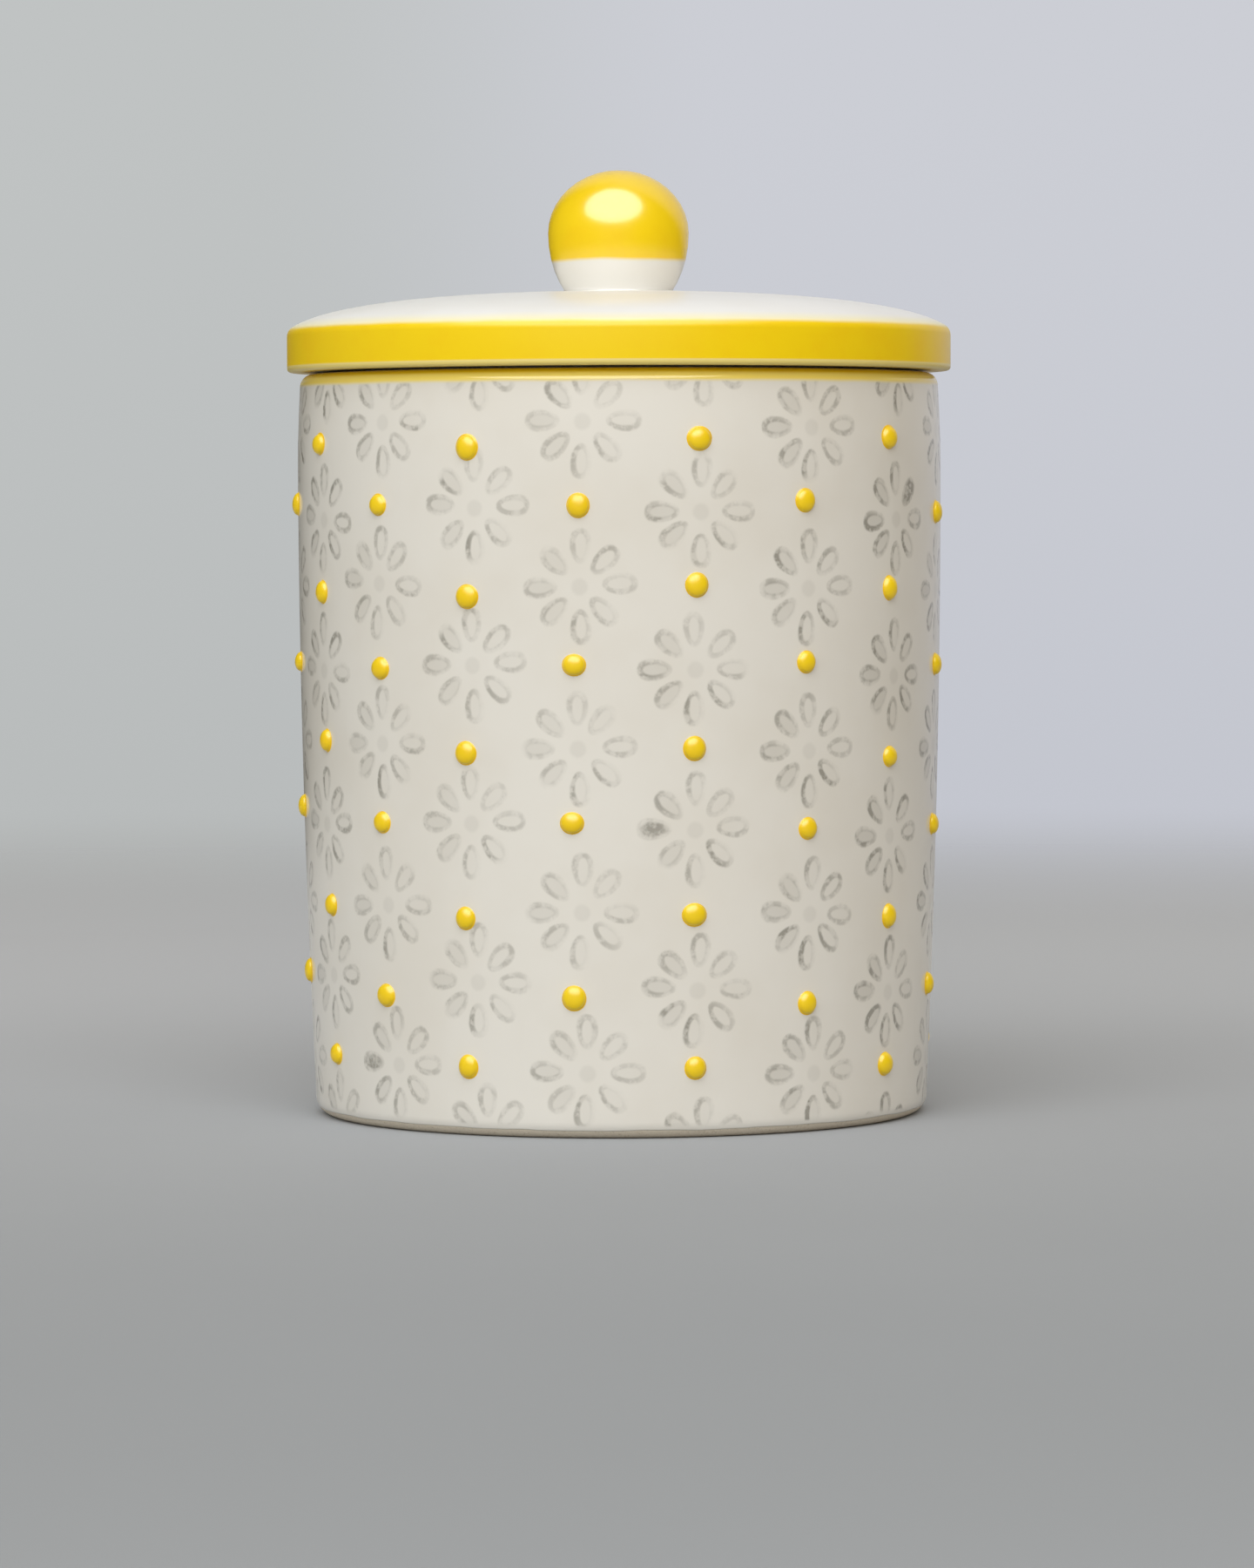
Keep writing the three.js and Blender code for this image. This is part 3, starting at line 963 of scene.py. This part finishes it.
def dot_glaze():
    """Yellow that is deeper in a ring at each dot's foot."""
    surface = Surface("dot_glaze")
    lift = surface.tree.nodes.new("ShaderNodeAttribute")
    lift.attribute_name = "lift"
    foot = fade(Number(lift.outputs["Fac"]), *DOT_RING_EDGE)
    surface.colour(mixed(yellow(surface), YELLOW_DEEP, foot * DOT_RING_STRENGTH))
    surface.set(Roughness=DOT_ROUGHNESS, IOR=GLAZE_IOR)
    surface.relief(noise(surface.place, DIMPLE_SCALE, detail=1.0) * DIMPLE_DEPTH)
    return surface.material


# The seal's silicone
SILICONE_ROUGHNESS = 0.42
SILICONE_GLOW = 0.3  # share of the light that passes under its skin
SILICONE_GLOW_DEPTH = 2 * MM
DUST_SCALE = 0.5
DUST_RANGE = (0.4, 0.7)
DUST_STRENGTH = 0.4
MATT_SCALE = 3.0
MATT_DEPTH = 0.01


def silicone():
    """Pale matt rubber with a little dust on it."""
    surface = Surface("silicone")
    dust = fade(noise(surface.place, DUST_SCALE, detail=4.0, roughness=0.6), *DUST_RANGE)
    surface.colour(mixed(SILICONE, DUST, dust * DUST_STRENGTH))
    surface.set(Roughness=SILICONE_ROUGHNESS)
    surface.set(Subsurface_Weight=SILICONE_GLOW, Subsurface_Scale=SILICONE_GLOW_DEPTH)
    surface.relief(noise(surface.place, MATT_SCALE) * MATT_DEPTH)
    return surface.material


# The object

jar_body = turned("jar_body", jar_outline(), jar_glaze())
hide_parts("jar")
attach(jar_body, "jar")

dots = glaze_dots(dot_glaze())
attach(dots, "jar")

lid_body = turned("lid_body", lid_outline(), lid_glaze())
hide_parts("lid")
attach(lid_body, "lid")

knob_ball = turned("knob_ball", knob_outline(), knob_glaze())
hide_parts("knob")
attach(knob_ball, "lid")

silicone_ring = turned("silicone_ring", seal_outline(), silicone())
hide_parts("seal_ring")
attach(silicone_ring, "seal")


# Camera, fitted to the photograph

LENS = 146.4
SENSOR = 36
CAMERA_PLACE = Vector((1.06, -1011.9, 96.0))
CAMERA_PITCH = 0.0436  # downwards
CAMERA_ROLL = 0.0035
CLIP_NEAR = 10
CLIP_FAR = 20000

camera = bpy.data.objects.new("camera", bpy.data.cameras.new("camera"))
camera.data.lens = LENS
camera.data.sensor_width = SENSOR
camera.data.clip_start = CLIP_NEAR * MM
camera.data.clip_end = CLIP_FAR * MM
aim = Matrix.Rotation(RIGHT - CAMERA_PITCH, 4, "X") @ Matrix.Rotation(-CAMERA_ROLL, 4, "Z")
camera.matrix_world = Matrix.Translation(CAMERA_PLACE * MM) @ aim
bpy.context.scene.collection.objects.link(camera)
bpy.context.scene.camera = camera


# Floor, which fades out into the backdrop

FLOOR_RADIUS = 1100
FLOOR_SIDES = 64
FLOOR_FADE = 400
FLOOR_CLEAR_RIM = 50
FLOOR_NEAR = rgb(150, 153, 156)
FLOOR_FAR = rgb(195, 198, 203)
FLOOR_CLOUDS = 25  # unevenness of the shade between them
FLOOR_CLOUD_SCALE = 0.01
FLOOR_ROUGHNESS = 0.9
FLOOR_SHEEN = 0.1


def floor_material():
    """Matt grey, paler towards the back and clear at its rim."""
    surface = Surface("floor")
    radius = hypot(surface.x, surface.y)
    clouds = (noise(surface.place, FLOOR_CLOUD_SCALE, detail=3.0) - 0.5) * (2 * FLOOR_CLOUDS)
    surface.colour(mixed(FLOOR_NEAR, FLOOR_FAR, fade(surface.y + clouds, -FLOOR_FADE, FLOOR_FADE)))
    surface.set(Roughness=FLOOR_ROUGHNESS, Specular_IOR_Level=FLOOR_SHEEN)
    clear = surface.tree.nodes.new("ShaderNodeBsdfTransparent")
    blend = surface.tree.nodes.new("ShaderNodeMixShader")
    feed(blend.inputs[0], fade(radius, FLOOR_FADE, FLOOR_RADIUS - FLOOR_CLEAR_RIM))
    surface.tree.links.new(surface.shader.outputs[0], blend.inputs[1])
    surface.tree.links.new(clear.outputs[0], blend.inputs[2])
    surface.tree.links.new(blend.outputs[0], surface.tree.nodes["Material Output"].inputs["Surface"])
    return surface.material


turns = [TURN * i / FLOOR_SIDES for i in range(FLOOR_SIDES)]
rim = [(FLOOR_RADIUS * math.sin(angle), -FLOOR_RADIUS * math.cos(angle), 0) for angle in turns]
floor = mesh_object("floor", rim, [tuple(range(FLOOR_SIDES))], floor_material())


# Backdrop and light. Directions in the world run from -1 to 1 along each axis.

BACKDROP_UPPER = (rgb(192, 195, 195), rgb(204, 206, 213))  # left and right
BACKDROP_LOWER = (rgb(178, 181, 181), rgb(188, 191, 201))
BACKDROP_TURN = (-0.06, 0.02)  # where left turns into right
BACKDROP_RISE = (-0.16, 0.08)  # where lower turns into upper
AMBIENT = 0.72
AMBIENT_LEFT = rgb(255, 251, 242)
AMBIENT_RIGHT = rgb(218, 202, 179)
AMBIENT_ABOVE = rgb(214, 212, 206)
AMBIENT_TURN = (-0.5, 0.5)
AMBIENT_RISE = (0.3, 0.9)

# What glossy surfaces mirror: the backdrop where it lies behind, to the right and above, counted as y with
# these shares of x and z, and a dim room elsewhere
DIM_ROOM = rgb(52, 50, 46)
LIT_RIGHT = 0.4
LIT_UP = 0.8
LIT_RISE = (0.8, 1.15)

# Lamps, in metres
LAMP_TARGET = Vector((0, 0, 0.08))
LAMP_DISTANCE = 1.5
SKY_BLUE = (0.84, 0.92, 1)


def backdrop():
    """A pale world, grey on the left and lavender on the right, that lights and is mirrored softly."""
    world = bpy.data.worlds.new("studio")
    bpy.context.scene.world = world
    world.use_nodes = True
    tree = world.node_tree
    tree.nodes.clear()
    place = tree.nodes.new("ShaderNodeTexCoord")
    parts = tree.nodes.new("ShaderNodeSeparateXYZ")
    tree.links.new(place.outputs["Generated"], parts.inputs[0])
    x, y, z = (Number(socket) for socket in parts.outputs)
    side = fade(x, *BACKDROP_TURN)
    upper = mixed(*BACKDROP_UPPER, side)
    lower = mixed(*BACKDROP_LOWER, side)
    seen = mixed(lower, upper, fade(z, *BACKDROP_RISE))
    path = tree.nodes.new("ShaderNodeLightPath")
    camera_ray = Number(path.outputs["Is Camera Ray"])
    glossy_ray = Number(path.outputs["Is Glossy Ray"])
    clear_ray = Number(path.outputs["Is Transmission Ray"])
    direct = worked("MAXIMUM", worked("MAXIMUM", camera_ray, clear_ray), glossy_ray)
    lit = fade(y + x * LIT_RIGHT + z * LIT_UP, *LIT_RISE)
    shown = tree.nodes.new("ShaderNodeBackground")
    tree.links.new(mixed(seen, mixed(DIM_ROOM, seen, lit), glossy_ray), shown.inputs["Color"])
    light = tree.nodes.new("ShaderNodeBackground")
    sideways = mixed(AMBIENT_LEFT, AMBIENT_RIGHT, fade(x, *AMBIENT_TURN))
    tree.links.new(mixed(sideways, AMBIENT_ABOVE, fade(z, *AMBIENT_RISE)), light.inputs["Color"])
    light.inputs["Strength"].default_value = AMBIENT
    blend = tree.nodes.new("ShaderNodeMixShader")
    feed(blend.inputs[0], direct)
    tree.links.new(light.outputs[0], blend.inputs[1])
    tree.links.new(shown.outputs[0], blend.inputs[2])
    out = tree.nodes.new("ShaderNodeOutputWorld")
    tree.links.new(blend.outputs[0], out.inputs["Surface"])


def lamp(name, azimuth, elevation, width, height, glow, colour=(1, 1, 1)):
    """An oval soft light of an even glow, aimed at the jar. Azimuth 0 is the viewer's side and 90 is +X."""
    around, up = math.radians(azimuth), math.radians(elevation)
    away = Vector((math.sin(around) * math.cos(up), -math.cos(around) * math.cos(up), math.sin(up)))
    light = bpy.data.lights.new(name, "AREA")
    light.shape = "ELLIPSE"
    light.size = width
    light.size_y = height
    light.energy = glow * math.pi * (math.pi / 4 * width * height)
    light.color = colour
    made = bpy.data.objects.new(name, light)
    made.location = LAMP_TARGET + away * LAMP_DISTANCE
    made.rotation_euler = away.to_track_quat("Z", "Y").to_euler()
    made.visible_camera = False
    bpy.context.scene.collection.objects.link(made)
    return made


backdrop()
window = lamp("window", azimuth=-6, elevation=43, width=2.0, height=1.5, glow=2.2)
window.visible_glossy = False
front_fill = lamp("front_fill", azimuth=-4, elevation=10, width=1.8, height=1.2, glow=0.5)
front_fill.visible_glossy = False
mirrored_window = lamp(
    "mirrored_window", azimuth=-12, elevation=56, width=2.5, height=2.1, glow=5, colour=SKY_BLUE
)
mirrored_window.visible_diffuse = False
bpy.context.scene.view_settings.view_transform = "Standard"
